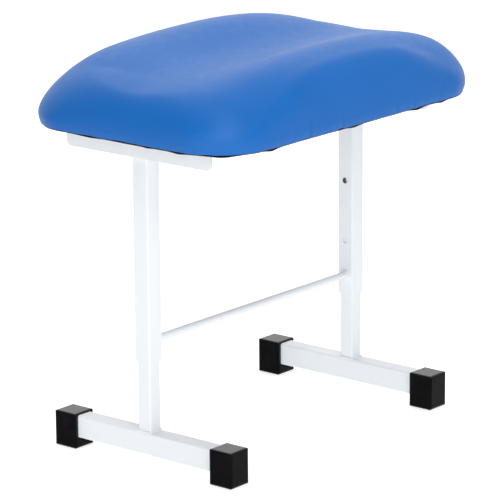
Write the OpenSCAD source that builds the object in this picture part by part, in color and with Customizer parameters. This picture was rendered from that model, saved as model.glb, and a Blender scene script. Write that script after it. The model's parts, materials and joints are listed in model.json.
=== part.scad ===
// Height-adjustable kneeling massage stool: a contoured upholstered seat on two telescoping T-legs.
// Origin on the floor, below the middle of the seat. X runs along the seat, the front is -Y, Z is up.

/* [Legs] */
// Distance between the two leg centre lines
leg_spacing = 500; // [420:5:560]
// Outside width of the outer posts
outer_post_w = 30; // [30:1:35]
// Outside width of the inner posts
inner_post_w = 25; // [24:0.5:25]
// Wall thickness of all the square tubes
tube_wall = 2; // [1.5:0.1:2]
// Height of the lower end of the outer posts
outer_post_bottom = 163; // [150:1:175]
// Length of the inner posts
inner_post_length = 341; // [330:1:360]

/* [Height adjustment] */
// Height of the upper locking hole, where the button sits at the lowest setting
lock_hole_z = 354; // [340:1:360]
// Distance between the two locking holes, which is the height adjustment
lock_pitch = 100; // [60:5:120]
// Diameter of the locking holes
lock_hole_d = 10; // [8:0.5:12]
// Radial clearance of a button in its hole
button_clearance = 0.1; // [0.05:0.05:0.1]
// How far a button stands out of the outer post
button_proud = 2; // [1:0.5:3]

/* [Feet] */
// Length of a foot rail, from end to end
rail_length = 344; // [320:2:360]
// Width of a foot rail
rail_w = 30; // [28:1:32]
// Height of a foot rail
rail_h = 36; // [32:1:38]
// Height of the underside of a foot rail
rail_z = 18; // [14:1:20]
// Length of a foot cap, along its rail
cap_length = 44; // [40:1:50]
// Width of a foot cap
cap_w = 43; // [40:1:50]
// Height of a foot cap
cap_h = 57; // [56:1:62]
// Thickness of the end wall of a foot cap
cap_end_wall = 6.5; // [4:0.5:8]
// Rounding of the edges of a foot cap
cap_rounding = 4; // [1:0.5:5]

/* [Seat frame] */
// Diameter of the cross rod
rod_d = 12; // [8:1:14]
// Height of the cross rod's centre line
rod_z = 196; // [185:1:225]
// Length of the angle bars under the seat
angle_length = 288; // [240:2:320]
// Width of the flat flange that carries the seat
angle_flat = 40; // [36:1:45]
// Height of the upright flange beside the post
angle_upright = 35; // [30:1:45]
// Thickness of the angle bars
angle_t = 3; // [2:0.5:4]
// Rounding of the lower corners of the upright flange
angle_corner_r = 9; // [4:1:12]
// Height of the faces that the seat rests on
seat_rest_z = 520; // [480:5:540]
// Distance between the two seat bolts of an angle bar
bolt_pitch = 210; // [160:5:240]
// Thread diameter of the seat bolts
bolt_d = 6; // [5:1:6]

/* [Seat] */
// Length of the upholstered seat
seat_length = 646; // [600:2:680]
// Depth of the upholstered seat
seat_depth = 428; // [400:2:440]
// How far the middle of the seat lies in front of the legs
seat_forward = 8; // [0:1:20]
// Plan radius of the seat's corners
seat_corner_r = 98; // [70:1:110]
// Thickness of the seat board
board_t = 12; // [12:1:13]
// Gap in plan between the board's edge and the seat's widest line
board_inset = 8; // [8:1:16]
// Thickness of the cover where it is turned in under the board
hem_t = 1.2; // [1:0.1:1.5]
// Thickness of the black lining
lining_t = 0.5; // [0.4:0.1:1]
// Height of the seat's middle above its lower edge, before the ridges are added
crown_h = 94; // [86:1:104]
// Drop of the seat surface from the middle to the two ends
end_drop = 36; // [20:1:40]
// Rise of the rear ridge
rear_ridge_h = 29; // [5:1:32]
// Rise of the front ridge
front_ridge_h = 19; // [0:1:24]
// Depth of the scoops at the two front corners
scoop_depth = 80; // [0:1:90]
// Height of the seat's widest line above its lower edge
widest_h = 16; // [15:1:24]
// How far the lower edge lies inside the widest line
edge_tuck = 4; // [2:0.5:6]

/* [Hidden] */
$fn = 48;
eps = 0.01;
tube_corner_r = 3;
leg_x = leg_spacing / 2;
rail_top = rail_z + rail_h;
cap_socket_gap = 0.05;
cap_socket_end_gap = 1;
cap_outer_y = rail_length / 2 + cap_socket_end_gap + cap_end_wall;
inner_post_top = rail_top + inner_post_length;
post_top = seat_rest_z - angle_t;

plug_collar_w = outer_post_w - 2 * tube_wall - 0.4;
plug_collar_h = 3;
plug_stem_w = inner_post_w - 2 * tube_wall - 0.2;
plug_stem_h = 12;

spring_t = 0.8;
spring_w = 10;
spring_arm = 46;
spring_gap = 0.3;
spring_bend_r = 4;
spring_bend_drop = 32;
spring_bend_steps = 12;
button_flange_d = 13;
button_flange_t = 1.2;
button_d = lock_hole_d - 2 * button_clearance;
button_dome = 1.6;

weld_size = 3;
rod_weld_length = 6;
rod_weld_d = rod_d + 6;

bolt_clearance_d = bolt_d + 1;
bolt_head_d = 11;
bolt_head_h = 3.5;
washer_d = 14;
washer_t = 1.2;
tee_flange_d = 18;
tee_flange_t = 1.5;
tee_barrel_d = 8;
tee_barrel_h = 9;
bolt_x = leg_x + outer_post_w / 2 + angle_t - 30;
bolt_rows = [seat_forward - bolt_pitch / 2, seat_forward + bolt_pitch / 2];

hem_z = seat_rest_z + lining_t;
board_z = hem_z + hem_t;
board_top = board_z + board_t;
board_corner_r = seat_corner_r - board_inset;
lining_inset = 6;
hem_reach = 0.9;
cover_scale = 0.992;
foam_scale = 0.989;

staple_crown = 10;
staple_wire = 0.8;
staple_leg = 6;
staple_inset = 20;
staples_long = 12;
staples_short = 6;

// Seat surface: ridge places and widths, counted from the middle of the seat towards the front.
end_drop_power = 6;
end_drop_ease = 5;
rear_ridge_at = -90;
rear_ridge_w = 77;
rear_ridge_half = 240;
front_ridge_at = 136;
front_ridge_w = 57;
front_ridge_half = 282;
scoop_at = 197;
scoop_blend = 20.5;
scoop_side_at = 167;
scoop_side_blend = 32;

// The rolled edge: its width as a fraction of the way to the middle, and the power of its curve.
side_roll = 0.1;
front_roll = 0.17;
rear_roll = 0.29;
front_corner_roll = 0.06;
side_power = 2.3;
front_power = 2.2;
rear_power = 1.65;
roll_change = 2;
ring_steps = [0.15, 0.3, 0.45, 0.58, 0.68, 0.76, 0.83, 0.88, 0.92, 0.955, 0.98, 0.994, 1];
arc_steps = 8;
long_steps = 10;
short_steps = 6;

// ---------- shared shapes ----------

// Places a part that is drawn for the right-hand leg, about its own post. side is 1 or -1.
module at_leg(side) {
    translate([side * leg_x, seat_forward, 0])
        scale_side(side) children();
}

module scale_side(side) {
    if (side > 0)
        children();
    else
        mirror([1, 0, 0]) children();
}

// A rectangle with true arcs at its corners, centred on the origin.
module rounded_rect(w, d, r) {
    square([w - 2 * r, d], center = true);
    square([w, d - 2 * r], center = true);
    for (sx = [-1, 1], sy = [-1, 1])
        translate([sx * (w / 2 - r), sy * (d / 2 - r)])
            circle(r);
}

// A block with every edge rounded, standing on z = 0.
module rounded_block(w, d, h, r) {
    translate([0, 0, h / 2])
        intersection() {
            linear_extrude(h, center = true)
                rounded_rect(w, d, r);
            rotate([90, 0, 0])
                linear_extrude(d, center = true)
                    rounded_rect(w, h, r);
            rotate([90, 0, 90])
                linear_extrude(w, center = true)
                    rounded_rect(d, h, r);
        }
}

// A square tube standing on z = 0.
module square_tube(w, length, wall, r) {
    linear_extrude(length)
        difference() {
            rounded_rect(w, w, r);
            rounded_rect(w - 2 * wall, w - 2 * wall, r - wall / 2);
        }
}

// ---------- feet ----------

module foot_rail(side) {
    color("white")
        at_leg(side)
            translate([0, rail_length / 2, rail_z + rail_h / 2])
                rotate([90, 0, 0])
                    linear_extrude(rail_length)
                        difference() {
                            rounded_rect(rail_w, rail_h, tube_corner_r);
                            rounded_rect(rail_w - 2 * tube_wall, rail_h - 2 * tube_wall,
                                         tube_corner_r - tube_wall / 2);
                        }
}

// end is -1 for the front cap and 1 for the rear one.
module foot_cap(side, end) {
    socket_w = rail_w + 2 * cap_socket_gap;
    socket_h = rail_h + 2 * cap_socket_gap;
    socket_depth = cap_length - cap_end_wall + eps;
    color([0.06, 0.06, 0.07])
        at_leg(side)
            difference() {
                translate([0, end * (cap_outer_y - cap_length / 2), 0])
                    rounded_block(cap_w, cap_length, cap_h, cap_rounding);
                translate([0, end * (cap_outer_y - cap_end_wall - socket_depth / 2),
                           rail_z + rail_h / 2])
                    rotate([90, 0, 0])
                        linear_extrude(socket_depth, center = true)
                            rounded_rect(socket_w, socket_h, tube_corner_r);
            }
}

module inner_post(side) {
    color("white")
        at_leg(side)
            difference() {
                translate([0, 0, rail_top])
                    square_tube(inner_post_w, inner_post_length, tube_wall, tube_corner_r);
                translate([-inner_post_w / 2 - 1, 0, lock_hole_z])
                    rotate([0, 90, 0])
                        cylinder(h = tube_wall + 2, d = lock_hole_d);
            }
}

// The bead around the foot of the inner post: four straight fillets that meet at mitred corners.
module foot_weld(side) {
    w = inner_post_w;
    color("white")
        at_leg(side)
            translate([0, 0, rail_top])
                difference() {
                    intersection_for (turn = [0, 90])
                        rotate([0, 0, turn])
                            translate([0, -w / 2 - weld_size, 0])
                                rotate([90, 0, 90])
                                    linear_extrude(w + 2 * weld_size, center = true)
                                        polygon([[0, 0], [w + 2 * weld_size, 0],
                                                 [w + weld_size, weld_size], [weld_size, weld_size]]);
                    translate([0, 0, -1])
                        linear_extrude(weld_size + 2)
                            rounded_rect(w, w, tube_corner_r);
                    for (sx = [-1, 1])
                        translate([sx * (rail_w / 2 + 5), 0, 0])
                            cube([10, w + 20, 20], center = true);
                }
}

module post_plug(side) {
    color("dimgray")
        at_leg(side)
            translate([0, 0, inner_post_top]) {
                linear_extrude(plug_collar_h)
                    rounded_rect(plug_collar_w, plug_collar_w, tube_corner_r - tube_wall / 2);
                translate([0, 0, -plug_stem_h])
                    linear_extrude(plug_stem_h)
                        rounded_rect(plug_stem_w, plug_stem_w, tube_corner_r - tube_wall / 2);
            }
}

// ---------- locking buttons ----------

// Seen from the post's axis, the button points along -X, to the other leg.
module snap_button(side) {
    wall_inside = inner_post_w / 2 - tube_wall;
    tip = outer_post_w / 2 + button_proud;
    color("silver")
        at_leg(side)
            translate([0, 0, lock_hole_z])
                rotate([0, -90, 0])
                    translate([0, 0, wall_inside])
                        rotate_extrude()
                            polygon(concat(
                                [[0, -button_flange_t], [button_flange_d / 2, -button_flange_t],
                                 [button_flange_d / 2, 0], [button_d / 2, 0],
                                 [button_d / 2, tip - wall_inside - button_dome]],
                                [for (a = [15:15:90])
                                    [button_d / 2 * cos(a),
                                     tip - wall_inside - button_dome + button_dome * sin(a)]]));
}

// A leaf bent to a V: one arm carries the button and the other rests on the opposite wall.
module snap_spring(side) {
    wall_inside = inner_post_w / 2 - tube_wall;
    carrier_x = -wall_inside + button_flange_t;
    color("lightgray")
        at_leg(side)
            translate([carrier_x, spring_w / 2, lock_hole_z - spring_bend_drop])
                rotate([90, 0, 0])
                    linear_extrude(spring_w)
                        polygon(spring_outline(wall_inside - spring_gap - carrier_x));
}

// The leaf's edge: down the upright arm, round the bend and up the arm that leans to the far wall,
// which is a distance span away, then back along the inside of the V.
function spring_outline(span) =
    let (
        r = spring_bend_r,
        half = spring_t / 2,
        middle = half + r,
        lean = asin((span - 2 * middle) / spring_arm),
        bend = [for (i = [0:spring_bend_steps]) 180 + (180 - lean) * i / spring_bend_steps],
        tip = [middle + r * cos(lean), -r * sin(lean)] + spring_arm * [sin(lean), cos(lean)],
        across = half * [cos(lean), -sin(lean)]
    )
    concat([[0, spring_arm]], [for (a = bend) [middle + (r + half) * cos(a), (r + half) * sin(a)]],
           [tip + across, tip - across],
           [for (a = reversed(bend)) [middle + (r - half) * cos(a), (r - half) * sin(a)]],
           [[spring_t, spring_arm]]);

// ---------- seat frame ----------

module outer_post(side) {
    color("white")
        at_leg(side)
            difference() {
                translate([0, 0, outer_post_bottom])
                    square_tube(outer_post_w, post_top - outer_post_bottom, tube_wall, tube_corner_r);
                for (z = [lock_hole_z, lock_hole_z - lock_pitch])
                    translate([-outer_post_w / 2 - 1, 0, z])
                        rotate([0, 90, 0])
                            cylinder(h = tube_wall + 2, d = lock_hole_d);
            }
}

module cross_rod() {
    rod_length = leg_spacing - outer_post_w;
    color("white")
        translate([-rod_length / 2, seat_forward, rod_z])
            rotate([0, 90, 0])
                cylinder(h = rod_length, d = rod_d);
}

// The bead where the rod meets the post's inner face.
module rod_weld(side) {
    color("white")
        at_leg(side)
            translate([-outer_post_w / 2, 0, rod_z])
                rotate([0, -90, 0])
                    difference() {
                        cylinder(h = rod_weld_length, d1 = rod_weld_d, d2 = rod_d + 0.6);
                        translate([0, 0, -1])
                            cylinder(h = rod_weld_length + 2, d = rod_d);
                    }
}

module seat_angle(side) {
    outside = outer_post_w / 2 + angle_t;
    color("white")
        at_leg(side)
            translate([outside, 0, seat_rest_z])
                difference() {
                    union() {
                        translate([-angle_flat, -angle_length / 2, -angle_t])
                            cube([angle_flat, angle_length, angle_t]);
                        rotate([0, -90, 0])
                            linear_extrude(angle_t)
                                upright_flange();
                    }
                    for (y = bolt_rows)
                        translate([bolt_x - leg_x - outside, y - seat_forward, -angle_t - 1])
                            cylinder(h = angle_t + 2, d = bolt_clearance_d);
                }
}

// Outline of the upright flange, hanging down along -X, with its two free corners rounded.
module upright_flange() {
    half = angle_length / 2;
    r = angle_corner_r;
    translate([-angle_upright + r, -half])
        square([angle_upright - r, angle_length]);
    translate([-angle_upright, -half + r])
        square([angle_upright, angle_length - 2 * r]);
    for (s = [-1, 1])
        translate([-angle_upright + r, s * (half - r)])
            circle(r);
}

// Two beads across the top of the post, under the flat flange.
module angle_weld(side) {
    color("white")
        at_leg(side)
            for (s = [-1, 1])
                translate([0, s * outer_post_w / 2, post_top])
                    rotate([90, 0, -90])
                        linear_extrude(outer_post_w - 4, center = true)
                            polygon([[0, 0], [-s * weld_size, 0], [0, -weld_size]]);
}

// ---------- seat fasteners ----------

module seat_bolts(side) {
    shank = board_top - tee_flange_t - 1 - (seat_rest_z - angle_t - washer_t);
    color("silver")
        for (y = bolt_rows)
            translate([side * bolt_x, y, post_top - washer_t]) {
                cylinder(h = shank, d = bolt_d - 0.1);
                translate([0, 0, -bolt_head_h])
                    difference() {
                        rotate_extrude()
                            polygon([[0, 0.6], [bolt_head_d / 2 - 1.6, 0], [bolt_head_d / 2 - 0.5, 1],
                                     [bolt_head_d / 2, 2.4], [bolt_head_d / 2, bolt_head_h],
                                     [0, bolt_head_h]]);
                        translate([0, 0, -1])
                            cylinder(h = 3, d = 4.6, $fn = 6);
                    }
            }
}

module seat_washers(side) {
    color("silver")
        for (y = bolt_rows)
            translate([side * bolt_x, y, post_top - washer_t])
                difference() {
                    cylinder(h = washer_t, d = washer_d);
                    translate([0, 0, -1])
                        cylinder(h = washer_t + 2, d = bolt_d + 0.4);
                }
}

// The flanged nuts that are knocked into the board from above.
module tee_nuts() {
    color("goldenrod")
        for (side = [-1, 1], y = bolt_rows)
            translate([side * bolt_x, y, board_top])
                difference() {
                    union() {
                        translate([0, 0, -tee_flange_t])
                            cylinder(h = tee_flange_t, d = tee_flange_d);
                        translate([0, 0, -tee_flange_t - tee_barrel_h])
                            cylinder(h = tee_barrel_h + eps, d = tee_barrel_d);
                    }
                    translate([0, 0, -tee_barrel_h - 5])
                        cylinder(h = tee_barrel_h + 10, d = bolt_d);
                }
}

// ---------- seat ----------

module seat_board() {
    color("burlywood")
        translate([0, 0, board_z])
            difference() {
                linear_extrude(board_t)
                    rounded_rect(seat_length - 2 * board_inset, seat_depth - 2 * board_inset,
                                 board_corner_r);
                for (side = [-1, 1], y = bolt_rows)
                    translate([side * bolt_x, y, 0]) {
                        translate([0, 0, -1])
                            cylinder(h = board_t + 2, d = tee_barrel_d + 0.1);
                        translate([0, 0, board_t - tee_flange_t - 0.05])
                            cylinder(h = tee_flange_t + 1, d = tee_flange_d + 0.2);
                    }
            }
}

module underside_lining() {
    color([0.05, 0.05, 0.05])
        translate([0, 0, seat_rest_z])
            linear_extrude(lining_t)
                difference() {
                    rounded_rect(seat_length - 2 * lining_inset, seat_depth - 2 * lining_inset,
                                 seat_corner_r - lining_inset);
                    for (side = [-1, 1], y = bolt_rows)
                        translate([side * bolt_x, y])
                            circle(d = bolt_clearance_d);
                }
}

// One staple, driven upwards, with its crown along X.
module staple() {
    translate([-staple_crown / 2, -staple_wire / 2, -staple_wire])
        cube([staple_crown, staple_wire, staple_wire]);
    for (s = [-1, 1])
        translate([s * (staple_crown - staple_wire) / 2 - staple_wire / 2, -staple_wire / 2, 0])
            cube([staple_wire, staple_wire, staple_leg]);
}

// Rows of staples along the four straight sides. The angle bars leave the ends free.
module staples() {
    row_x = seat_length / 2 - staple_inset;
    row_y = seat_depth / 2 - staple_inset;
    long_reach = seat_length / 2 - seat_corner_r;
    short_reach = seat_depth / 2 - seat_corner_r;
    color("gainsboro")
        translate([0, 0, seat_rest_z]) {
            for (s = [-1, 1], i = [0:staples_long - 1])
                translate([long_reach * (2 * i / (staples_long - 1) - 1), s * row_y, 0])
                    staple();
            for (s = [-1, 1], i = [0:staples_short - 1])
                translate([s * row_x, short_reach * (2 * i / (staples_short - 1) - 1), 0])
                    rotate([0, 0, 90])
                        staple();
        }
}

// ---------- seat surface ----------

// The seat's plan outline at its widest line, anticlockwise from the right-hand end.
function corner_arc(cx, cy, start) =
    [for (i = [0:arc_steps])
        let (a = start + 90 * i / arc_steps)
            [cx + seat_corner_r * cos(a), cy + seat_corner_r * sin(a)]];

function between(p, q, steps) = [for (i = [1:steps - 1]) p + (q - p) * i / steps];

function outline() =
    let (
        cx = seat_length / 2 - seat_corner_r,
        cy = seat_depth / 2 - seat_corner_r,
        a = corner_arc(cx, cy, 0),
        b = corner_arc(-cx, cy, 90),
        c = corner_arc(-cx, -cy, 180),
        d = corner_arc(cx, -cy, 270),
        n = arc_steps
    )
    concat(a, between(a[n], b[0], long_steps), b, between(b[n], c[0], short_steps),
           c, between(c[n], d[0], long_steps), d, between(d[n], a[0], short_steps));

function blend(x) = 1 / (1 + exp(-x));

function ridge(u, at, w) = exp(-pow((u - at) / w, 2));

function fade(v, half) = max(1 - pow(v / half, 2), 0);

// Height of the seat above its lower edge, before the edge is rolled over.
function crown(x, y) =
    let (
        u = -y,
        v = abs(x),
        drop = end_drop - end_drop_ease * 2 * u / seat_depth
    )
    crown_h - drop * pow(2 * v / seat_length, end_drop_power)
        + rear_ridge_h * ridge(u, rear_ridge_at, rear_ridge_w) * fade(v, rear_ridge_half)
        + front_ridge_h * ridge(u, front_ridge_at, front_ridge_w) * fade(v, front_ridge_half)
        - scoop_depth * blend((u - scoop_at) / scoop_blend) * blend((v - scoop_side_at) / scoop_side_blend);

// 0 at the outline's end points and 1 at the middle of its front and rear sides.
function edge_mix(p) = pow(abs(2 * p.y / seat_depth), roll_change);

function roll_width(p) =
    let (m = edge_mix(p))
    p.y > 0 ? side_roll + (rear_roll - side_roll) * m
            : side_roll + (front_roll - side_roll) * m + 4 * front_corner_roll * m * (1 - m);

function roll_power(p) = side_power + ((p.y > 0 ? rear_power : front_power) - side_power) * edge_mix(p);

// Rise of the rolled edge from the widest line, where t is 0, to the crown, where t is 1.
function roll(t, power) = t >= 1 ? 1 : pow(1 - pow(1 - t, power), 1 / power);

// A ring of the upper surface: s is 1 at the widest line and 0 in the middle.
function upper_ring(s, k) =
    [for (p = outline())
        [k * s * p.x, k * s * p.y,
         k * (widest_h + (crown(s * p.x, s * p.y) - widest_h)
                         * roll((1 - s) / roll_width(p), roll_power(p)))]];

// A ring of the tucked-in side below the widest line, at height h above the lower edge.
function lower_ring(h, k) =
    let (inset = edge_tuck * pow(1 - h / widest_h, 2))
    [for (p = outline())
        [k * p.x * (1 - 2 * inset / seat_length), k * p.y * (1 - 2 * inset / seat_depth), k * h]];

// A flat ring at height z, a fraction s of the outline.
function flat_ring(s, z) = [for (p = outline()) [s * p.x, s * p.y, z]];

function upper_rings(k) = [for (i = [0:len(ring_steps) - 1]) upper_ring(ring_steps[i], k)];

function reversed(list) = [for (i = [len(list) - 1:-1:0]) list[i]];

function joined(lists) = [for (l = lists) for (p = l) p];

// Triangles between ring j and ring j + 1 of rings with n points each, from the first point on. Inward
// ones are split along the other diagonal, so that a lining's two faces run parallel.
function band(j, n, inward) =
    [for (i = [0:n - 1])
        let (a = 1 + j * n + i, b = 1 + j * n + (i + 1) % n)
            each inward ? [[a, a + n, b + n], [a, b + n, b]] : [[a, a + n, b], [b, a + n, b + n]]];

function fan(centre, first, n, up) =
    [for (i = [0:n - 1])
        let (a = first + i, b = first + (i + 1) % n)
            up ? [centre, a, b] : [centre, b, a]];

// A closed solid from a stack of rings that runs between two middle points, first down the outside and
// then, for a shell, up the inside.
module ring_solid(start, outside, inside, finish) {
    rings = concat(outside, inside);
    n = len(rings[0]);
    m = len(rings);
    last = 1 + m * n;
    polyhedron(
        points = concat([start], joined(rings), [finish]),
        faces = concat(fan(0, 1, n, true), joined([for (j = [0:m - 2]) band(j, n, j >= len(outside))]),
                       fan(last, last - n, n, false)),
        convexity = 6);
}

// Height of the foam's flat underside, on the board, in the seat surface's own scale.
function foam_foot(k) = (board_top - hem_z) / k;

module foam_pad() {
    k = foam_scale;
    color("khaki")
        translate([0, 0, hem_z])
            ring_solid(
                [0, 0, k * crown(0, 0)],
                concat(upper_rings(k), [lower_ring(foam_foot(k), k)]),
                [],
                [0, 0, board_top - hem_z]);
}

module seat_cover() {
    k = cover_scale;
    color([0.18, 0.49, 0.82])
        translate([0, 0, hem_z])
            ring_solid(
                [0, 0, crown(0, 0)],
                concat(upper_rings(1), [lower_ring(widest_h / 2, 1), lower_ring(0, 1),
                                        flat_ring(hem_reach, 0)]),
                concat([flat_ring(hem_reach, hem_t), lower_ring(hem_t / k, k),
                        lower_ring(foam_foot(k), k)],
                       reversed(upper_rings(k))),
                [0, 0, k * crown(0, 0)]);
}

foot_rail(-1);  // foot_rail_left
foot_cap(-1, -1);  // foot_cap_front_left
foot_cap(-1, 1);  // foot_cap_rear_left
inner_post(-1);  // inner_post_left
foot_weld(-1);  // foot_weld_left
post_plug(-1);  // post_plug_left
snap_spring(-1);  // snap_spring_left
snap_button(-1);  // snap_button_left
foot_rail(1);  // foot_rail_right
foot_cap(1, -1);  // foot_cap_front_right
foot_cap(1, 1);  // foot_cap_rear_right
inner_post(1);  // inner_post_right
foot_weld(1);  // foot_weld_right
post_plug(1);  // post_plug_right
snap_spring(1);  // snap_spring_right
snap_button(1);  // snap_button_right
outer_post(-1);  // outer_post_left
outer_post(1);  // outer_post_right
cross_rod();
rod_weld(-1);  // rod_weld_left
rod_weld(1);  // rod_weld_right
seat_angle(-1);  // seat_angle_left
seat_angle(1);  // seat_angle_right
angle_weld(-1);  // angle_weld_left
angle_weld(1);  // angle_weld_right
seat_board();
foam_pad();
seat_cover();
underside_lining();
staples();
seat_bolts(-1);  // seat_bolts_left
seat_bolts(1);  // seat_bolts_right
seat_washers(-1);  // seat_washers_left
seat_washers(1);  // seat_washers_right
tee_nuts();
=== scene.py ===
"""Looks of the kneeling massage stool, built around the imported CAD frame. Metres, Z up, front at -Y."""

import json
import math
import random

import bmesh
import bpy
import numpy as np
from mathutils import Matrix, Vector, noise


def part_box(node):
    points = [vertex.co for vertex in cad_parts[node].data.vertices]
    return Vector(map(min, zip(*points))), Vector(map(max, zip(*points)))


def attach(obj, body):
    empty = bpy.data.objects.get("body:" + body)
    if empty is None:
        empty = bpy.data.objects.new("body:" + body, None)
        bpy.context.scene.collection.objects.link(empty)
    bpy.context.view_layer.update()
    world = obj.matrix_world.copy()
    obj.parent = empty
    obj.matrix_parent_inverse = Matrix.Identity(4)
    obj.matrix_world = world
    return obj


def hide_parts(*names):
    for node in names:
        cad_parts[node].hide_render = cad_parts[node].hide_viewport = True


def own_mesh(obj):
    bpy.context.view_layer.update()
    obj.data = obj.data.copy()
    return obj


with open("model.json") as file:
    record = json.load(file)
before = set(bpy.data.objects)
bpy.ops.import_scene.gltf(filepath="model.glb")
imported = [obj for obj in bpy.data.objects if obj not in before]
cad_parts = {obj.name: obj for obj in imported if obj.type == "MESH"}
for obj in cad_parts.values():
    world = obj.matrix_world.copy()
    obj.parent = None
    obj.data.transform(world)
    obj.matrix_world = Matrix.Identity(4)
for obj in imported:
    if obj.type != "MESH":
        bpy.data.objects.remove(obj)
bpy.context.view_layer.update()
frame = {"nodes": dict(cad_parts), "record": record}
scene = bpy.context.scene
nodes = frame["nodes"]
RANGE_SOCKETS = ("From Min", "From Max", "To Min", "To Max")

# ---------------------------------------------------------------- camera, floor and light

CAMERA_AZIMUTH = -50.35       # degrees, 0 looks along +Y
CAMERA_ELEVATION = 15.19
CAMERA_ROLL = -0.44
CAMERA_DISTANCE = 5.2008
CAMERA_LENS = 238.1
PIVOT_Z = 0.2571              # the camera turns about this point, midway between the legs
AIM_RIGHT = -0.0043           # what the middle of the picture shows, measured from the pivot
AIM_UP = 0.02895

SEAT_AIM = (0, 0, 0.4)        # what every light points at
# Each light's name, position, size, power in watts, and whether glossy surfaces show it.
LIGHTS = [
    ("overhead", (0.2, 0.3, 3.2), (3.0, 3.0), 56, False),
    ("back", (1.2, 1.7, 2.7), (1.8, 1.4), 5, True),
    ("front", (-1.2, -2.2, 3.0), (2.0, 1.6), 34, True),
    ("front_left", (-2.4, -2.8, 1.5), (2.2, 1.8), 40, True),
    ("front_right", (2.4, -3.0, 1.6), (2.4, 2.0), 14, False),
    ("left", (-3.2, -0.6, 0.5), (2.0, 0.8), 13, False),
]
FLOOR_HALF = 40.0
FLOOR_GLOW = 0.56
STUDIO_BACK = (0.770, 0.638, 0.0)             # the way to the bright side of the room, behind the stool
STUDIO_SPREAD = (0.05, 0.80, 0.10, 1.15)      # from where to where it brightens, and how much


def make_camera():
    azimuth, elevation = math.radians(CAMERA_AZIMUTH), math.radians(CAMERA_ELEVATION)
    back = Vector((math.sin(azimuth) * math.cos(elevation),
                   -math.cos(azimuth) * math.cos(elevation),
                   math.sin(elevation)))
    right = Vector((math.cos(azimuth), math.sin(azimuth), 0))
    up = back.cross(right)
    post_low, post_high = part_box("outer_post_left")
    pivot = Vector((0, (post_low.y + post_high.y) / 2, PIVOT_Z))
    position = pivot + back * CAMERA_DISTANCE
    look = position - (pivot + right * AIM_RIGHT + up * AIM_UP)
    camera = bpy.data.objects.new("camera", bpy.data.cameras.new("camera"))
    camera.data.lens = CAMERA_LENS
    camera.data.sensor_width = 36
    camera.data.clip_end = 100
    camera.location = position
    turn = look.to_track_quat("Z", "Y").to_matrix() @ Matrix.Rotation(math.radians(CAMERA_ROLL), 3, "Z")
    camera.rotation_euler = turn.to_euler()
    scene.collection.objects.link(camera)
    scene.camera = camera


def area_light(name, position, size, power, mirrored):
    data = bpy.data.lights.new(name, "AREA")
    data.shape = "RECTANGLE"
    data.size, data.size_y = size
    data.energy = power
    light = bpy.data.objects.new(name, data)
    light.visible_glossy = mirrored
    light.location = position
    light.rotation_euler = (Vector(position) - Vector(SEAT_AIM)).to_track_quat("Z", "Y").to_euler()
    scene.collection.objects.link(light)


def make_floor():
    mesh = bpy.data.meshes.new("floor")
    corners = [(x * FLOOR_HALF, y * FLOOR_HALF, 0) for x, y in ((-1, -1), (1, -1), (1, 1), (-1, 1))]
    mesh.from_pydata(corners, [], [(0, 1, 2, 3)])
    floor = bpy.data.objects.new("floor", mesh)
    scene.collection.objects.link(floor)
    material = bpy.data.materials.new("floor")
    material.use_nodes = True
    shader = material.node_tree.nodes["Principled BSDF"]
    shader.inputs["Base Color"].default_value = (0.86, 0.86, 0.86, 1)
    shader.inputs["Roughness"].default_value = 0.9
    shader.inputs["Specular IOR Level"].default_value = 0.1
    shader.inputs["Emission Color"].default_value = (1, 1, 1, 1)
    shader.inputs["Emission Strength"].default_value = FLOOR_GLOW
    mesh.materials.append(material)
    floor.visible_glossy = False


def make_world():
    """A white room that is bright behind the stool and dark on the camera's side."""
    world = bpy.data.worlds.new("studio")
    scene.world = world
    world.use_nodes = True
    tree = world.node_tree
    place = tree.nodes.new("ShaderNodeTexCoord")
    towards = tree.nodes.new("ShaderNodeVectorMath")
    towards.operation = "DOT_PRODUCT"
    towards.inputs[1].default_value = STUDIO_BACK
    spread = tree.nodes.new("ShaderNodeMapRange")
    spread.interpolation_type = "SMOOTHSTEP"
    for socket, number in zip(RANGE_SOCKETS, STUDIO_SPREAD):
        spread.inputs[socket].default_value = number
    background = tree.nodes["Background"]
    background.inputs["Color"].default_value = (1.0, 1.0, 1.0, 1)
    tree.links.new(place.outputs["Generated"], towards.inputs[0])
    tree.links.new(towards.outputs["Value"], spread.inputs["Value"])
    tree.links.new(spread.outputs["Result"], background.inputs["Strength"])


# ---------------------------------------------------------------- materials

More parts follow.
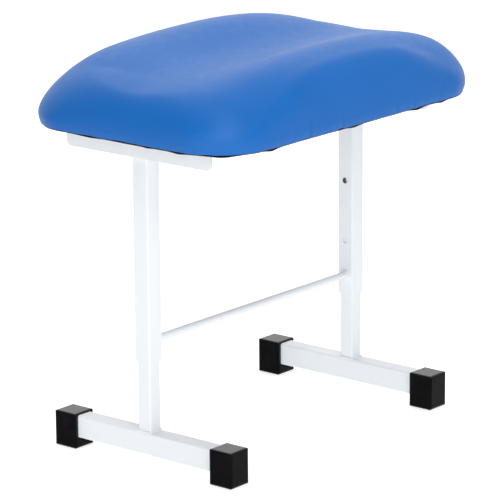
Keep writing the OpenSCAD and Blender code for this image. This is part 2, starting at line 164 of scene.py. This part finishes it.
class Shader:
    """A material's nodes, with short calls for the ones that are used here."""

    def __init__(self, name, colour, roughness, metallic=0.0, specular=0.5):
        self.material = bpy.data.materials.new(name)
        self.material.use_nodes = True
        self.tree = self.material.node_tree
        self.shader = self.tree.nodes["Principled BSDF"]
        self.set("Base Color", (*colour, 1))
        self.set("Roughness", roughness)
        self.set("Metallic", metallic)
        self.set("Specular IOR Level", specular)
        self.place = self.node("ShaderNodeTexCoord").outputs["Object"]

    def set(self, socket, value):
        self.shader.inputs[socket].default_value = value

    def node(self, kind, **settings):
        made = self.tree.nodes.new(kind)
        for key, value in settings.items():
            setattr(made, key, value)
        return made

    def link(self, a, b):
        self.tree.links.new(a, b)

    def stretched(self, scale):
        """Object coordinates scaled by (x, y, z)."""
        mapping = self.node("ShaderNodeMapping")
        mapping.inputs["Scale"].default_value = scale
        self.link(self.place, mapping.inputs["Vector"])
        return mapping.outputs["Vector"]

    def noise(self, scale, detail=3.0, rough=0.5, place=None):
        made = self.node("ShaderNodeTexNoise")
        made.inputs["Scale"].default_value = scale
        made.inputs["Detail"].default_value = detail
        made.inputs["Roughness"].default_value = rough
        self.link(place or self.place, made.inputs["Vector"])
        return made.outputs["Fac"]

    def cells(self, scale, feature="DISTANCE_TO_EDGE", place=None):
        made = self.node("ShaderNodeTexVoronoi", feature=feature)
        made.inputs["Scale"].default_value = scale
        self.link(place or self.place, made.inputs["Vector"])
        return made.outputs["Distance"]

    def spread(self, value, *ends):
        """value mapped from one range to another; ends are the first range's ends, then the second's."""
        made = self.node("ShaderNodeMapRange")
        for socket, number in zip(RANGE_SOCKETS, ends):
            made.inputs[socket].default_value = number
        self.link(value, made.inputs["Value"])
        return made.outputs["Result"]

    def mix(self, factor, a, b):
        """A colour between a and b."""
        made = self.node("ShaderNodeMix", data_type="RGBA")
        self.link(factor, made.inputs["Factor"])
        for socket, value in ((made.inputs["A"], a), (made.inputs["B"], b)):
            if isinstance(value, tuple):
                socket.default_value = (*value, 1)
            else:
                self.link(value, socket)
        return made.outputs["Result"]

    def add(self, a, b, operation="ADD"):
        made = self.node("ShaderNodeMath", operation=operation)
        for socket, value in zip(made.inputs, (a, b)):
            if isinstance(value, (int, float)):
                socket.default_value = value
            else:
                self.link(value, socket)
        return made.outputs["Value"]

    def colour(self, output):
        self.link(output, self.shader.inputs["Base Color"])

    def rough(self, output):
        self.link(output, self.shader.inputs["Roughness"])

    def bump(self, *layers):
        """Each layer is (height output, strength, distance in metres)."""
        normal = None
        for height, strength, distance in layers:
            made = self.node("ShaderNodeBump")
            made.inputs["Strength"].default_value = strength
            made.inputs["Distance"].default_value = distance
            self.link(height, made.inputs["Height"])
            if normal:
                self.link(normal, made.inputs["Normal"])
            normal = made.outputs["Normal"]
        self.link(normal, self.shader.inputs["Normal"])


def powder_coat():
    """White paint with a faint orange-peel surface."""
    s = Shader("powder_coat", (0.835, 0.87, 0.91), 0.4, specular=0.45)
    broad = s.noise(7.0, 3.0)
    s.colour(s.mix(s.spread(broad, 0.3, 0.7, 0, 1), (0.825, 0.86, 0.905), (0.845, 0.88, 0.915)))
    s.rough(s.spread(s.noise(90.0, 4.0), 0.3, 0.7, 0.34, 0.46))
    s.bump((s.noise(420.0, 2.0), 0.22, 0.0002), (s.noise(1500.0, 2.0), 0.12, 0.0001))
    return s.material


def blue_vinyl():
    """Smooth vinyl with a very fine pebble grain and slight changes of tone."""
    s = Shader("blue_vinyl", (0.009, 0.131, 0.455), 0.42, specular=0.25)
    tone = s.spread(s.noise(5.0, 4.0, 0.55), 0.3, 0.7, 0, 1)
    fine = s.spread(s.noise(900.0, 3.0), 0.3, 0.7, 0, 1)
    base = s.mix(tone, (0.007, 0.122, 0.435), (0.009, 0.134, 0.468))
    s.colour(s.mix(s.spread(fine, 0, 1, 0, 0.35), base, (0.012, 0.142, 0.49)))
    s.rough(s.spread(s.noise(60.0, 5.0, 0.6), 0.3, 0.7, 0.38, 0.47))
    grain = s.cells(720.0)
    crease = s.spread(grain, 0.0, 0.25, 0, 1)
    s.bump((crease, 0.18, 0.00018), (s.noise(1900.0, 3.0), 0.10, 0.0001),
           (s.noise(28.0, 3.0), 0.10, 0.0008))
    return s.material


def moulded_black():
    """Semi-gloss moulded rubber or plastic."""
    s = Shader("moulded_black", (0.003, 0.003, 0.004), 0.22, specular=0.5)
    tone = s.spread(s.noise(40.0, 4.0), 0.35, 0.65, 0, 1)
    s.colour(s.mix(tone, (0.002, 0.002, 0.003), (0.004, 0.004, 0.005)))
    s.rough(s.spread(s.noise(160.0, 5.0, 0.6), 0.3, 0.7, 0.17, 0.27))
    s.bump((s.noise(1300.0, 2.0), 0.2, 0.0001), (s.noise(60.0, 2.0), 0.08, 0.0006))
    return s.material


def guide_plastic():
    """Dull grey plastic."""
    s = Shader("guide_plastic", (0.05, 0.05, 0.055), 0.5)
    s.colour(s.mix(s.noise(120.0, 3.0), (0.04, 0.04, 0.045), (0.06, 0.06, 0.065)))
    s.rough(s.spread(s.noise(300.0, 4.0), 0.3, 0.7, 0.42, 0.6))
    s.bump((s.noise(900.0, 3.0), 0.2, 0.0002))
    return s.material


def plated_steel(name, colour, roughness, streak=(1, 1, 1), scale=600.0):
    """Bare or plated steel; streak stretches the grain along one axis."""
    s = Shader(name, colour, roughness, metallic=1.0)
    grain = s.noise(scale, 4.0, 0.6, s.stretched(streak))
    dark = tuple(0.82 * c for c in colour)
    s.colour(s.mix(s.spread(grain, 0.3, 0.7, 0, 1), dark, colour))
    s.rough(s.spread(s.noise(250.0, 4.0), 0.3, 0.7, roughness * 0.75, roughness * 1.3))
    s.bump((grain, 0.15, 0.0001))
    return s.material


def plywood():
    """Birch plywood: long grain on the face and thin layers on the edge."""
    s = Shader("plywood", (0.6, 0.42, 0.25), 0.6)
    face = s.noise(55.0, 6.0, 0.6, s.stretched((0.12, 1, 1)))
    ply = s.noise(480.0, 2.0, 0.4, s.stretched((0.004, 0.004, 1)))
    wood = s.mix(s.spread(face, 0.35, 0.65, 0, 1), (0.56, 0.38, 0.21), (0.70, 0.52, 0.33))
    s.colour(s.mix(s.spread(ply, 0.45, 0.55, 0, 0.45), wood, (0.33, 0.20, 0.10)))
    s.rough(s.spread(face, 0.3, 0.7, 0.52, 0.7))
    s.bump((face, 0.3, 0.0003))
    return s.material


def upholstery_foam():
    """Open-cell foam with fine pores."""
    s = Shader("upholstery_foam", (0.78, 0.70, 0.46), 0.9, specular=0.2)
    pores = s.cells(420.0, "F1")
    # painted shade: the colour darkens towards the middle of each pore, where the bump sinks it
    s.colour(s.mix(s.spread(pores, 0.2, 0.8, 0, 1), (0.62, 0.54, 0.34), (0.82, 0.76, 0.53)))
    s.rough(s.spread(pores, 0.0, 1.0, 0.85, 1.0))
    s.bump((pores, 0.5, 0.0008))
    return s.material


def black_lining():
    """Non-woven felt with crossing fibres."""
    s = Shader("black_lining", (0.010, 0.010, 0.011), 0.85, specular=0.25)
    fibres = s.noise(700.0, 6.0, 0.75, s.stretched((1, 0.25, 1)))
    cross = s.noise(700.0, 6.0, 0.75, s.stretched((0.25, 1, 1)))
    felt = s.add(fibres, cross, "MAXIMUM")
    s.colour(s.mix(s.spread(felt, 0.4, 0.7, 0, 1), (0.006, 0.006, 0.007), (0.020, 0.020, 0.022)))
    s.rough(s.spread(felt, 0.3, 0.8, 0.75, 0.95))
    s.bump((felt, 0.5, 0.0003))
    s.set("Sheen Weight", 0.2)
    return s.material


def make_materials():
    made = {
        "white_powder_coat": powder_coat(),
        "blue_vinyl": blue_vinyl(),
        "black_cap": moulded_black(),
        "guide_plastic": guide_plastic(),
        "spring_steel": plated_steel("spring_steel", (0.50, 0.50, 0.51), 0.3, (1, 1, 0.05)),
        "button_chrome": plated_steel("button_chrome", (0.80, 0.80, 0.82), 0.12, scale=200.0),
        "zinc_steel": plated_steel("zinc_steel", (0.62, 0.63, 0.65), 0.32),
        "staple_wire": plated_steel("staple_wire", (0.60, 0.60, 0.61), 0.3),
        "plywood": plywood(),
        "foam": upholstery_foam(),
        "black_lining": black_lining(),
    }
    slot_of = {p["node"]: p["material_slot"] for p in frame["record"]["subparts"]}
    for name, cad in nodes.items():
        cad.data.materials.clear()
        cad.data.materials.append(made[slot_of[name]])
        for face in cad.data.polygons:
            face.material_index = 0
    return made


# ---------------------------------------------------------------- the seat's shape

seat_low, seat_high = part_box("seat_cover")
SEAT_X = (seat_high.x - seat_low.x) / 2       # half the seat's length and depth, at its widest line
SEAT_Y = (seat_high.y - seat_low.y) / 2
SEAT_Z = seat_low.z                           # underside of the turned-in hem
CORNER_R = 0.098
WIDEST_H = 0.016
EDGE_TUCK = 0.004
CROWN_H = 0.094
END_DROP, END_DROP_EASE, END_DROP_POWER = 0.036, 0.005, 6.0
REAR_RIDGE = (0.029, -0.090, 0.077, 0.240)    # rise, place, width and half length
FRONT_RIDGE = (0.019, 0.136, 0.057, 0.282)
END_VALLEY = (0.0028, 0.004, 0.048, 0.261)    # depth, place and width, and how far out it is that deep
SCOOP_DEPTH = 0.080
SCOOP_AT, SCOOP_BLEND = 0.197, 0.0205
SCOOP_SIDE_AT, SCOOP_SIDE_BLEND = 0.167, 0.032
ROLL_SIDE, ROLL_FRONT, ROLL_REAR, ROLL_CORNER = 0.10, 0.17, 0.29, 0.06
POWER_SIDE, POWER_FRONT, POWER_REAR = 2.3, 2.2, 1.65
LIP_AT, LIP_BLEND = 0.150, 0.030              # outside this the front edge is squarer, round the corners
LIP_POWER, LIP_NARROWING = 1.4, 0.05
TURN_R = 0.0025                               # the vinyl's bend round the lower edge
HEM_REACH = 0.030
VINYL_T = 0.0010
FLAT_SHARE = 0.70                             # share of the grid that lies inside the rolled edge


def blend(x):
    return 1 / (1 + np.exp(-x))


def ridge(u, v, rise, place, width, half):
    return rise * np.exp(-((u - place) / width) ** 2) * np.maximum(1 - (v / half) ** 2, 0)


def end_valley(u, v, depth, place, width, out):
    return depth * np.exp(-((u - place) / width) ** 2) * (v / out) ** 2


def crown(x, y):
    """Height above the seat's lower edge, before the edge is rolled over."""
    u, v = -y, np.abs(x)
    drop = END_DROP - END_DROP_EASE * u / SEAT_Y
    scoop = blend((u - SCOOP_AT) / SCOOP_BLEND) * blend((v - SCOOP_SIDE_AT) / SCOOP_SIDE_BLEND)
    return (CROWN_H - drop * (v / SEAT_X) ** END_DROP_POWER + ridge(u, v, *REAR_RIDGE)
            + ridge(u, v, *FRONT_RIDGE) - SCOOP_DEPTH * scoop - end_valley(u, v, *END_VALLEY))


def rim(p, q):
    """Where the direction (p, q) of a square meets the seat's widest line: the point, the outward normal
    and the way along the line, anticlockwise from the middle of the right-hand end."""
    side_x, side_y = SEAT_X - CORNER_R, SEAT_Y - CORNER_R
    half_arc = math.pi / 4 * CORNER_R
    quarter = side_x + side_y + 2 * half_arc
    a, b = np.abs(p), np.abs(q)
    large = np.maximum(np.maximum(a, b), 1e-9)
    way = np.where(a >= b, b / large * (side_y + half_arc),
                   quarter - a / large * (side_x + half_arc))
    turn = np.clip((way - side_y) / CORNER_R, 0, math.pi / 2)
    x = side_x + CORNER_R * np.cos(turn) - np.maximum(way - side_y - 2 * half_arc, 0)
    y = np.minimum(way, side_y) + CORNER_R * np.sin(turn)
    sign = np.stack([np.where(p < 0, -1, 1), np.where(q < 0, -1, 1)], -1)
    start = np.where(sign[..., 0] < 0, 2 * quarter, np.where(sign[..., 1] < 0, 4 * quarter, 0))
    round_way = start + way * sign[..., 0] * sign[..., 1]
    return np.stack([x, y], -1) * sign, np.stack([np.cos(turn), np.sin(turn)], -1) * sign, round_way


def seat_top(p, q):
    """The upper surface's point for each (p, q) of a square from -1 to 1, whose edge is the widest line."""
    edge, _, _ = rim(p, q)
    m = np.maximum(np.abs(p), np.abs(q))
    mix = (edge[..., 1] / SEAT_Y) ** 2
    rear = edge[..., 1] > 0
    lip = mix * blend((np.abs(edge[..., 0]) - LIP_AT) / LIP_BLEND)
    end_width = np.where(rear, ROLL_REAR, ROLL_FRONT - LIP_NARROWING * lip)
    width = ROLL_SIDE + (end_width - ROLL_SIDE) * mix + 4 * ROLL_CORNER * mix * (1 - mix)
    end_power = np.where(rear, POWER_REAR, POWER_FRONT + LIP_POWER * lip)
    power = POWER_SIDE + (end_power - POWER_SIDE) * mix
    swing = np.clip((1 - m) / (1 - FLAT_SHARE), 0, 1) * math.pi / 2
    rise = np.sin(swing) ** (2 / power)
    out = np.where(m > FLAT_SHARE, 1 - width * (1 - np.cos(swing) ** (2 / power)),
                   (1 - width) * m / FLAT_SHARE)
    x, y = edge[..., 0] * out, edge[..., 1] * out
    return np.stack([x, y, WIDEST_H + (crown(x, y) - WIDEST_H) * rise], -1)


def square_grid(nx, ny):
    """Grid points (p, q) of a square from -1 to 1, its quads, and the indices round its edge."""
    p, q = np.meshgrid(np.linspace(-1, 1, nx + 1), np.linspace(-1, 1, ny + 1), indexing="ij")
    at = lambda i, j: i * (ny + 1) + j
    quads = [(at(i, j), at(i + 1, j), at(i + 1, j + 1), at(i, j + 1)) for i in range(nx) for j in range(ny)]
    edge = ([at(nx, j) for j in range(ny)] + [at(i, ny) for i in range(nx, 0, -1)]
            + [at(0, j) for j in range(ny, 0, -1)] + [at(i, 0) for i in range(nx)])
    return p.ravel(), q.ravel(), quads, edge


def side_rings(profile, p, q):
    """Rings below the widest line. profile is a list of (inset, height)."""
    point, normal, _ = rim(p, q)
    return [np.column_stack([point - inset * normal, np.full(len(p), height)]) for inset, height in profile]


def join_rings(quads, edge, first, count):
    """Adds the quads that hang count rings of vertices, numbered from first on, below the grid's edge.
    Returns the last ring."""
    n, above = len(edge), list(edge)
    for r in range(count):
        below = [first + r * n + i for i in range(n)]
        quads += [(above[i], below[i], below[(i + 1) % n], above[(i + 1) % n]) for i in range(n)]
        above = below
    return above


def settled(made):
    """Applies the object's modifiers to its mesh."""
    evaluated = made.evaluated_get(bpy.context.evaluated_depsgraph_get())
    mesh = bpy.data.meshes.new_from_object(evaluated)
    made.modifiers.clear()
    made.data = mesh


def new_object(name, points, faces, material):
    mesh = bpy.data.meshes.new(name)
    mesh.from_pydata([tuple(map(float, p)) for p in points], [], faces)
    mesh.validate()
    mesh.polygons.foreach_set("use_smooth", [True] * len(mesh.polygons))
    mesh.materials.append(material)
    made = bpy.data.objects.new(name, mesh)
    scene.collection.objects.link(made)
    return made


def points_of(mesh):
    co = np.empty(len(mesh.vertices) * 3)
    mesh.vertices.foreach_get("co", co)
    return co.reshape(-1, 3)


def set_points(mesh, points):
    mesh.vertices.foreach_set("co", np.asarray(points, np.float32).ravel())
    mesh.update()


def normals_of(mesh):
    normals = np.empty(len(mesh.vertices) * 3)
    mesh.vertices.foreach_get("normal", normals)
    return normals.reshape(-1, 3)


# ---------------------------------------------------------------- the vinyl cover

COVER_GRID = (152, 112)
TUCK_STEPS, TURN_STEPS, HEM_STEPS = 4, 4, 4


def tuck(height):
    return EDGE_TUCK * (1 - height / WIDEST_H) ** 2


def cover_profile():
    """Inset and height of the cover's rings, from the widest line round the lower edge to the hem's end."""
    turn_inset = tuck(TURN_R)
    side = [WIDEST_H + (TURN_R - WIDEST_H) * k / TUCK_STEPS for k in range(1, TUCK_STEPS + 1)]
    bend = [math.pi / 2 * k / TURN_STEPS for k in range(1, TURN_STEPS + 1)]
    hem_start = turn_inset + TURN_R
    return ([(tuck(h), h) for h in side]
            + [(turn_inset + TURN_R * (1 - math.cos(a)), TURN_R * (1 - math.sin(a))) for a in bend]
            + [(hem_start + (HEM_REACH - hem_start) * k / HEM_STEPS, 0) for k in range(1, HEM_STEPS + 1)])


def make_cover():
    p, q, quads, edge = square_grid(*COVER_GRID)
    profile = cover_profile()
    rings = side_rings(profile, p[edge], q[edge])
    top = seat_top(p, q)
    join_rings(quads, edge, len(top), len(rings))
    points = np.concatenate([top] + rings) + (0, 0, SEAT_Z)
    made = new_object("seat_cover_vinyl", points, quads, materials["blue_vinyl"])
    finer = made.modifiers.new("finer", "SUBSURF")
    finer.levels = finer.render_levels = 1
    settled(made)
    gather(made.data)
    thick = made.modifiers.new("thick", "SOLIDIFY")
    thick.thickness = VINYL_T
    thick.offset = -1
    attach(made, "seat_frame")
    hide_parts("seat_cover")


PUCKER_GAP = (0.030, 0.085)       # way along the edge from one pucker to the next
PUCKER_DEPTH = (0.0002, 0.0008)
PUCKER_WIDTH = (0.0028, 0.0052)
PUCKER_REACH = (0.010, 0.026)
END_SHARE = 0.12                  # how strong the puckers are at the seat's two ends
PUCKER_SLANT = 0.35
PUCKER_SEED = 11
FOLD_SHARE, FOLD_OFFSET = 0.7, 1.5    # the raised fold beside each pucker: its height and place, per pucker
LIFT = 0.0016                     # most that the lower edge rises between its staples
LIFT_HEIGHT = 0.02                # how far up the side the rise fades out
LIFT_SHARE = 0.25                 # how much of the edge's length is raised
LIFT_WAVES = ((26, 3.7, 1.0), (61, 9.1, 0.5))     # waves per metre, seed and share of each
HEM_KEPT, HEM_FADE = 0.006, 0.010     # the hem rises with the edge this far in, then fades out


def gather(mesh):
    """Puckers up the side from the stapled hem, and the slightly wavy lower edge that they leave."""
    points, normals = points_of(mesh), normals_of(mesh)
    _, outward, way = rim(*near_square(points))
    height = points[:, 2] - SEAT_Z
    near = height < 2 * PUCKER_REACH[1]
    depth = np.zeros(len(points))
    source = random.Random(PUCKER_SEED)
    length = float(way.max())
    place = 0.0
    while place < length:
        size, width, reach = (source.uniform(*r) for r in (PUCKER_DEPTH, PUCKER_WIDTH, PUCKER_REACH))
        slant = source.uniform(-PUCKER_SLANT, PUCKER_SLANT)
        across = (way[near] - place - slant * height[near]) / width
        fall = np.exp(-(np.maximum(height[near], 0) / reach) ** 2)
        depth[near] += size * fall * (FOLD_SHARE * np.exp(-(across - FOLD_OFFSET) ** 2)
                                      - np.exp(-across ** 2))
        place += source.uniform(*PUCKER_GAP)
    depth *= END_SHARE + (1 - END_SHARE) * outward[:, 1] ** 2
    low = np.clip(1 - np.abs(height) / LIFT_HEIGHT, 0, 1)
    lift = np.array([sum(share * noise.noise(Vector((w * waves, seed, 0)))
                         for waves, seed, share in LIFT_WAVES) for w in way[near]])
    rim_point, _, _ = rim(*near_square(points[near]))
    from_edge = np.linalg.norm(rim_point - points[near, :2], axis=1)
    hem_fade = np.clip(1 - (from_edge - HEM_KEPT) / HEM_FADE, 0, 1)
    points += normals * depth[:, None]
    points[near, 2] += LIFT * np.clip(lift + LIFT_SHARE, 0, 1) * low[near] * hem_fade
    set_points(mesh, points)


def near_square(points):
    """Directions of a square that lead, from the middle of the seat, to the rim near each point."""
    side = np.stack([SEAT_X - CORNER_R, SEAT_Y - CORNER_R])
    way_x, way_y = np.abs(points[:, 0]), np.abs(points[:, 1])
    turn = np.arctan2(np.maximum(way_y - side[1], 0), np.maximum(way_x - side[0], 0))
    half_arc = math.pi / 4 * CORNER_R
    inner = (way_x < side[0]) & (way_y < side[1])
    along_end = np.minimum(way_y, side[1]) + CORNER_R * np.minimum(turn, math.pi / 4)
    along_long = np.minimum(way_x, side[0]) + CORNER_R * np.minimum(math.pi / 2 - turn, math.pi / 4)
    on_end = (turn < math.pi / 4) & ~inner
    p = np.where(on_end, 1.0, along_long / (side[0] + half_arc))
    q = np.where(on_end, along_end / (side[1] + half_arc), 1.0)
    nearer_end = inner & (side[0] - way_x < side[1] - way_y)
    p = np.where(nearer_end, 1.0, p)
    q = np.where(nearer_end, way_y / (side[1] + half_arc), q)
    return p * np.where(points[:, 0] < 0, -1, 1), q * np.where(points[:, 1] < 0, -1, 1)


# ---------------------------------------------------------------- foam and lining

FOAM_GRID = (64, 44)
FOAM_GAP = 0.0022                 # from the cover's outside to the foam
LINING_GRID = (104, 68)
LINING_T = 0.0005
LINING_INSET = 0.0055
LINING_SAG = 0.0006
LINING_SAG_BASE = 0.7             # share of the sag that every stretch of the edge has
LINING_WAVES = 24                 # waves per metre along the edge
LINING_SAG_REACH = 0.012
BOLT_HOLE_R = 0.0036
# Places where the lining's free edge hangs lower: x, y, half width and depth.
LINING_DROOPS = [
    (-0.215, -0.209, 0.013, 0.0028), (-0.020, -0.209, 0.015, 0.0020), (0.140, -0.209, 0.015, 0.0028),
    (0.203, -0.209, 0.010, 0.0020), (0.262, -0.200, 0.006, 0.0012), (-0.317, 0.060, 0.020, 0.0012),
    (-0.317, -0.055, 0.009, 0.0012), (-0.314, -0.115, 0.011, 0.0016), (-0.290, -0.178, 0.020, 0.0026),
    (0.316, 0.030, 0.018, 0.0018), (0.060, 0.209, 0.020, 0.0022), (-0.180, 0.209, 0.016, 0.0018),
]


def make_foam():
    p, q, quads, edge = square_grid(*FOAM_GRID)
    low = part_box("foam_pad")[0].z - SEAT_Z
    rings = side_rings([(tuck(low), low)], p[edge], q[edge])
    top = seat_top(p, q)
    foot = join_rings(quads, edge, len(top), 1)
    points = np.concatenate([top] + rings) + (0, 0, SEAT_Z)
    made = new_object("seat_foam", points, quads + [tuple(reversed(foot))], materials["foam"])
    points = points - normals_of(made.data) * FOAM_GAP
    points[foot, 2] = SEAT_Z + low
    set_points(made.data, points)
    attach(made, "seat_frame")
    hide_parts("foam_pad")


def bolt_axes():
    for side in ("left", "right"):
        low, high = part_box(f"seat_bolts_{side}")
        radius = (high.x - low.x) / 2
        for y in (low.y + radius, high.y - radius):
            yield np.array(((low.x + high.x) / 2, y))


def make_lining():
    p, q, quads, edge = square_grid(*LINING_GRID)
    outer, normal, _ = rim(p, q)
    m = np.maximum(np.abs(p), np.abs(q))
    flat = (outer - LINING_INSET * normal) * m[:, None]
    holes = []
    for axis in bolt_axes():
        away = flat - axis
        centre = int(np.argmin(np.linalg.norm(away, axis=1)))
        around = sorted({v for quad in quads if centre in quad for v in quad} - {centre})
        length = np.linalg.norm(away[around], axis=1, keepdims=True)
        flat[around] = axis + BOLT_HOLE_R * away[around] / length
        holes.append(centre)
    quads = [quad for quad in quads if not set(quad) & set(holes)]
    from_edge = np.linalg.norm(flat - (outer - LINING_INSET * normal), axis=1)
    ripple = np.array([noise.noise(Vector((x * LINING_WAVES, y * LINING_WAVES, 5))) for x, y in flat])
    sag = LINING_SAG * (LINING_SAG_BASE + ripple)
    for x, y, half_width, depth in LINING_DROOPS:
        sag += depth * np.exp(-(((flat[:, 0] - x) ** 2 + (flat[:, 1] - y) ** 2) / half_width ** 2))
    sag *= np.exp(-(from_edge / LINING_SAG_REACH) ** 2)
    points = np.column_stack([flat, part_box("underside_lining")[1].z - sag])
    made = new_object("underside_lining_sheet", points, quads, materials["black_lining"])
    edit = bmesh.new()
    edit.from_mesh(made.data)
    bmesh.ops.delete(edit, geom=[v for v in edit.verts if not v.link_faces], context="VERTS")
    edit.to_mesh(made.data)
    edit.free()
    thick = made.modifiers.new("thick", "SOLIDIFY")
    thick.thickness = LINING_T
    thick.offset = -1
    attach(made, "seat_frame")
    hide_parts("underside_lining")


# ---------------------------------------------------------------- weld beads

BEAD_SIDES = 10
BEAD_STEP = 0.0006
RIPPLE_PITCH = 0.0021
RIPPLE_DEPTH = 0.13
BEAD_GUIDE = (0.31, 0.22, 0.925)  # a direction that no bead runs along, unless it is upright
BEAD_UPRIGHT = 0.9                # a bead steeper than this is measured from the X axis instead
BEAD_TIP = 0.05                   # share of the bead's radius left at a free end, squared
FOOT_BEAD_R, ROD_BEAD_R, ANGLE_BEAD_R = 0.0021, 0.0023, 0.0024
FOOT_BEAD_OUT = 0.0004            # how far each bead's centre line stands out from the metal
ROD_BEAD_OUT, ROD_BEAD_IN = 0.0006, 0.0007
ANGLE_BEAD_OUT, ANGLE_BEAD_INSET = 0.0007, 0.0025
FOOT_CORNER_R = 0.0035
CORNER_STEPS, RING_STEPS = 6, 48


def weld_bead(name, routes, radius, body, node):
    """Rippled beads along routes, which are (points, closed) pairs."""
    points, faces = [], []
    for route, closed in routes:
        line = even_steps(np.asarray(route, float), closed)
        n = len(line)
        ahead = np.roll(line, -1, 0) - np.roll(line, 1, 0)
        if not closed:
            ahead[0], ahead[-1] = line[1] - line[0], line[-1] - line[-2]
        ahead /= np.linalg.norm(ahead, axis=1, keepdims=True)
        side = np.cross(ahead, BEAD_GUIDE if abs(ahead[0][2]) < BEAD_UPRIGHT else (1, 0, 0))
        side /= np.linalg.norm(side, axis=1, keepdims=True)
        up = np.cross(side, ahead)
        way = np.arange(n) * BEAD_STEP
        size = radius * (1 - RIPPLE_DEPTH * np.abs(np.sin(math.pi * way / RIPPLE_PITCH)))
        if not closed:
            from_end = np.minimum(np.arange(n), n - 1 - np.arange(n)) * BEAD_STEP
            size *= np.sqrt(np.clip(from_end / radius, BEAD_TIP, 1))
        first = len(points)
        for i in range(n):
            for k in range(BEAD_SIDES):
                a = 2 * math.pi * k / BEAD_SIDES
                points.append(line[i] + size[i] * (math.cos(a) * side[i] + math.sin(a) * up[i]))
        for i in range(n if closed else n - 1):
            for k in range(BEAD_SIDES):
                a, b = first + i * BEAD_SIDES, first + (i + 1) % n * BEAD_SIDES
                faces.append((a + k, b + k, b + (k + 1) % BEAD_SIDES, a + (k + 1) % BEAD_SIDES))
        if not closed:
            faces.append(tuple(first + k for k in range(BEAD_SIDES)))
            faces.append(tuple(first + (n - 1) * BEAD_SIDES + k for k in reversed(range(BEAD_SIDES))))
    made = new_object(name, points, faces, materials["white_powder_coat"])
    edit = bmesh.new()
    edit.from_mesh(made.data)
    bmesh.ops.recalc_face_normals(edit, faces=edit.faces)
    edit.to_mesh(made.data)
    edit.free()
    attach(made, body)
    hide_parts(node)


def even_steps(route, closed):
    """The route's polyline, cut into steps of about BEAD_STEP."""
    if closed:
        route = np.vstack([route, route[:1]])
    lengths = np.linalg.norm(np.diff(route, axis=0), axis=1)
    marks = np.concatenate([[0], np.cumsum(lengths)])
    count = max(int(marks[-1] / BEAD_STEP), 8)
    way = np.linspace(0, marks[-1], count + 1)[:-1 if closed else None]
    return np.column_stack([np.interp(way, marks, route[:, k]) for k in range(3)])


def weld_foot(side):
    """The bead round the foot of an inner post."""
    low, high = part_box(f"inner_post_{side}")
    x, y, half = (low.x + high.x) / 2, (low.y + high.y) / 2, (high.x - low.x) / 2
    reach = half + FOOT_BEAD_OUT - FOOT_CORNER_R
    around = [(x + reach * sx + FOOT_CORNER_R * math.cos(a), y + reach * sy + FOOT_CORNER_R * math.sin(a),
               low.z + FOOT_BEAD_OUT)
              for sx, sy, start in ((1, 1, 0), (-1, 1, 90), (-1, -1, 180), (1, -1, 270))
              for a in (math.radians(start + 90 * k / CORNER_STEPS) for k in range(CORNER_STEPS + 1))]
    weld_bead(f"foot_weld_bead_{side}", [(around, True)], FOOT_BEAD_R, f"{side}_foot", f"foot_weld_{side}")


def weld_rod(side, inward):
    """The bead round an end of the cross rod."""
    low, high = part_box("cross_rod")
    end_x = low.x if side == "left" else high.x
    radius = (high.z - low.z) / 2 + ROD_BEAD_OUT
    y, z = (low.y + high.y) / 2, (low.z + high.z) / 2
    ring = [(end_x + inward * ROD_BEAD_IN, y + radius * math.cos(a), z + radius * math.sin(a))
            for a in (2 * math.pi * k / RING_STEPS for k in range(RING_STEPS))]
    weld_bead(f"rod_weld_bead_{side}", [(ring, True)], ROD_BEAD_R, "seat_frame", f"rod_weld_{side}")


def weld_angle(side):
    """The two beads between the top of an outer post and its angle bar."""
    low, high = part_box(f"outer_post_{side}")
    x, z = (low.x + high.x) / 2, high.z - ANGLE_BEAD_OUT
    run = (high.x - low.x) / 2 - ANGLE_BEAD_INSET
    lines = [([(x - run, y, z), (x + run, y, z)], False)
             for y in (low.y - ANGLE_BEAD_OUT, high.y + ANGLE_BEAD_OUT)]
    weld_bead(f"angle_weld_bead_{side}", lines, ANGLE_BEAD_R, "seat_frame", f"angle_weld_{side}")


# ---------------------------------------------------------------- springs behind the locking buttons


def make_springs():
    """Each leaf spring is copied from the CAD part and attached to its foot, in place of the part."""
    for side, outward in (("left", -1), ("right", 1)):
        spring = nodes[f"snap_spring_{side}"]
        leaf = bpy.data.objects.new(f"snap_spring_leaf_{side}", spring.data.copy())
        scene.collection.objects.link(leaf)
        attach(leaf, f"{side}_foot")
        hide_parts(spring.name)
        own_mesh(leaf)


make_camera()
make_floor()
make_world()
for light in LIGHTS:
    area_light(*light)
scene.view_settings.view_transform = "Standard"
materials = make_materials()
make_cover()
make_foam()
make_lining()
for side, inward in (("left", 1), ("right", -1)):
    weld_foot(side)
    weld_rod(side, inward)
    weld_angle(side)
make_springs()
